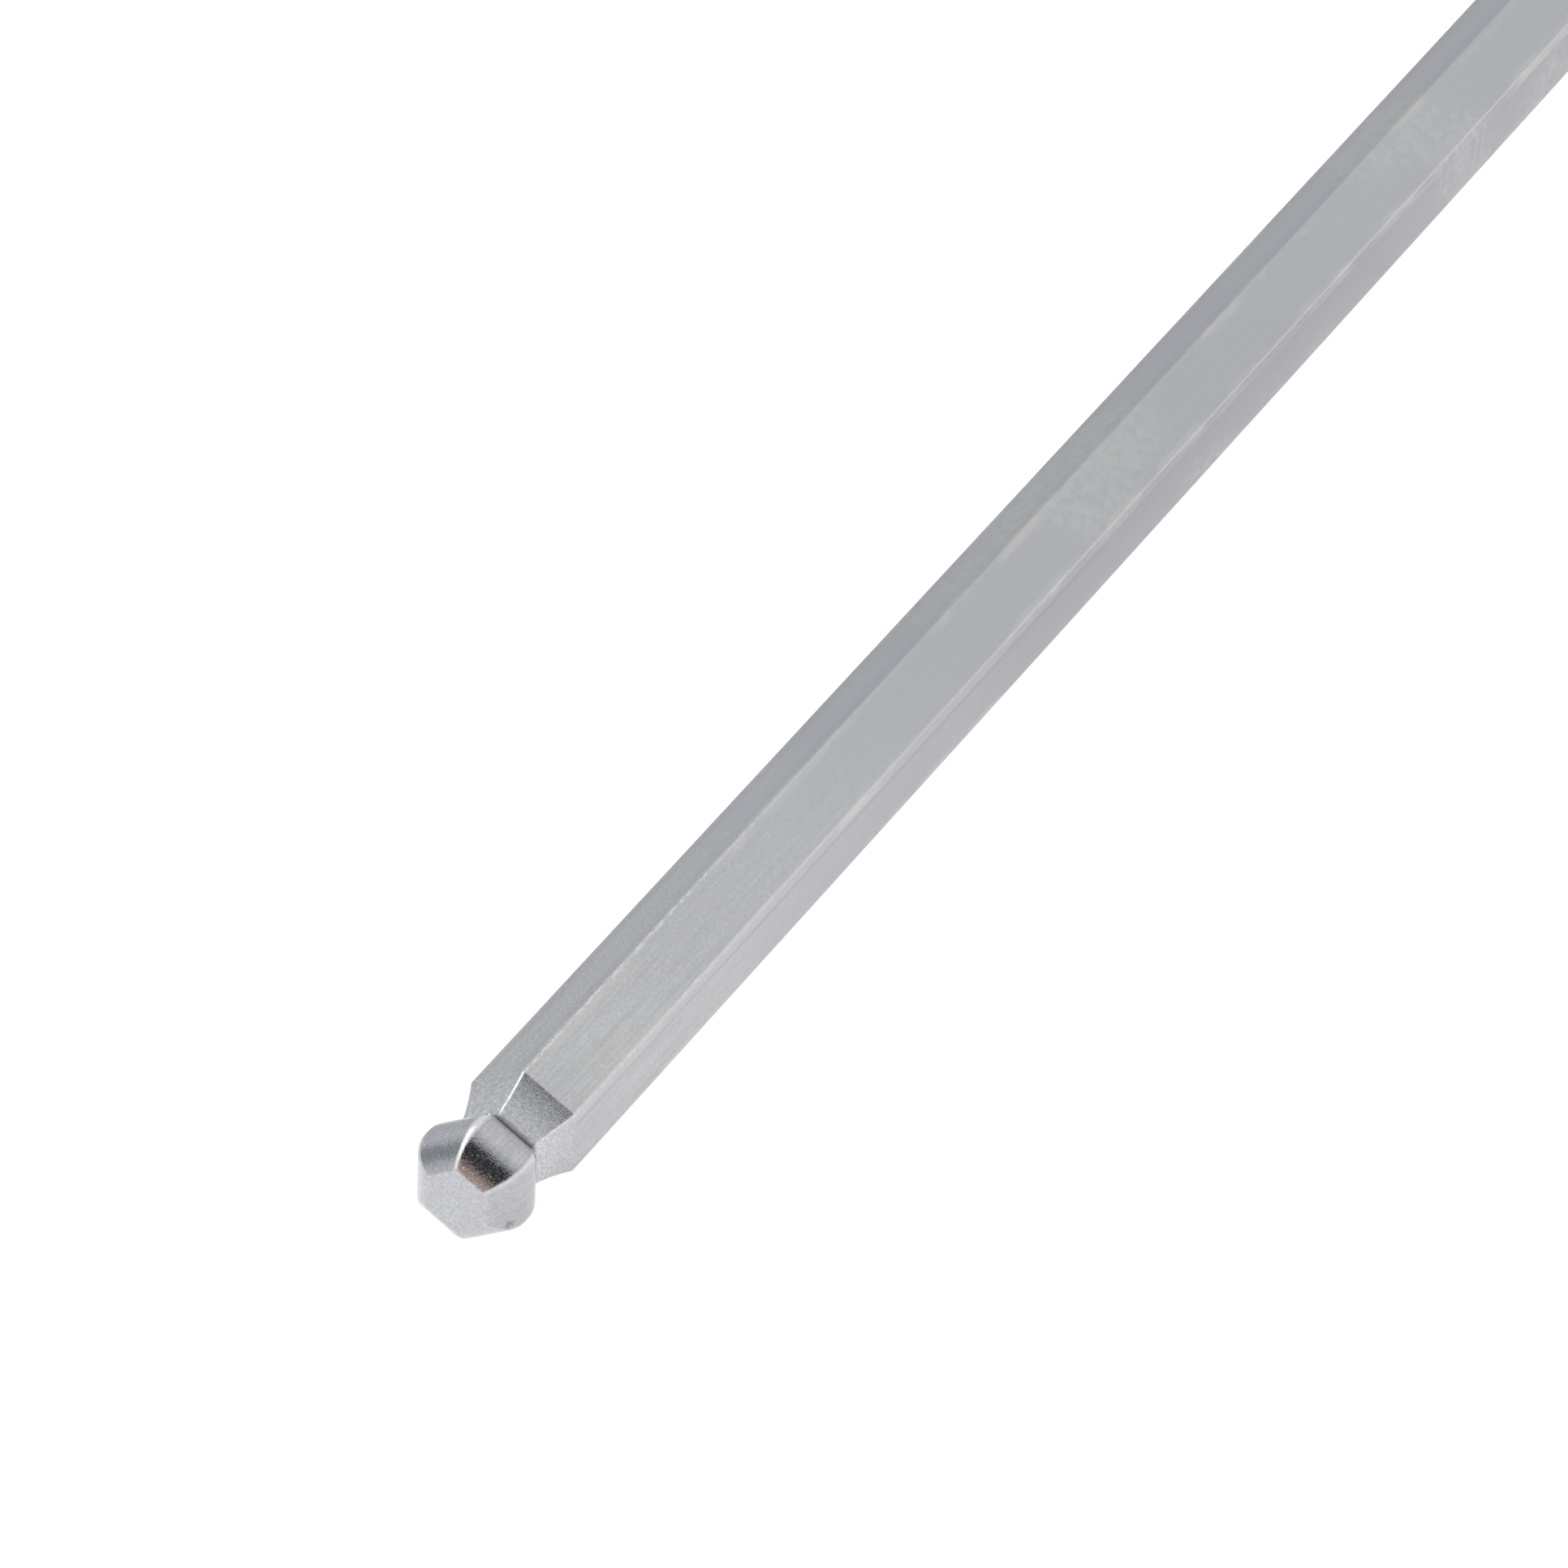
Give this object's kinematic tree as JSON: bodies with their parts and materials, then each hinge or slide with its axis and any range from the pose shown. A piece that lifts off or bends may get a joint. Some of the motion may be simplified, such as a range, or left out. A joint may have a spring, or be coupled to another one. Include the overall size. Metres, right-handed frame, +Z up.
{
  "type": "hex key",
  "caption": "L-shaped hexagonal steel key with a ball end on the long arm, a concave neck behind the ball and a chamfered end on the short arm.",
  "frame": {"origin": "under the middle of the key's outer box, on the plane that it lies on", "axes": "+X along the long arm towards the ball end, +Y along the short arm away from the bend, +Z up"},
  "size_m": [0.16, 0.028, 0.005],
  "materials": {
    "steel": "satin plated steel with a fine grain and faint lengthwise draw lines"
  },
  "bodies": {
    "root": {"hex_key": "steel"}
  },
  "joints": []
}
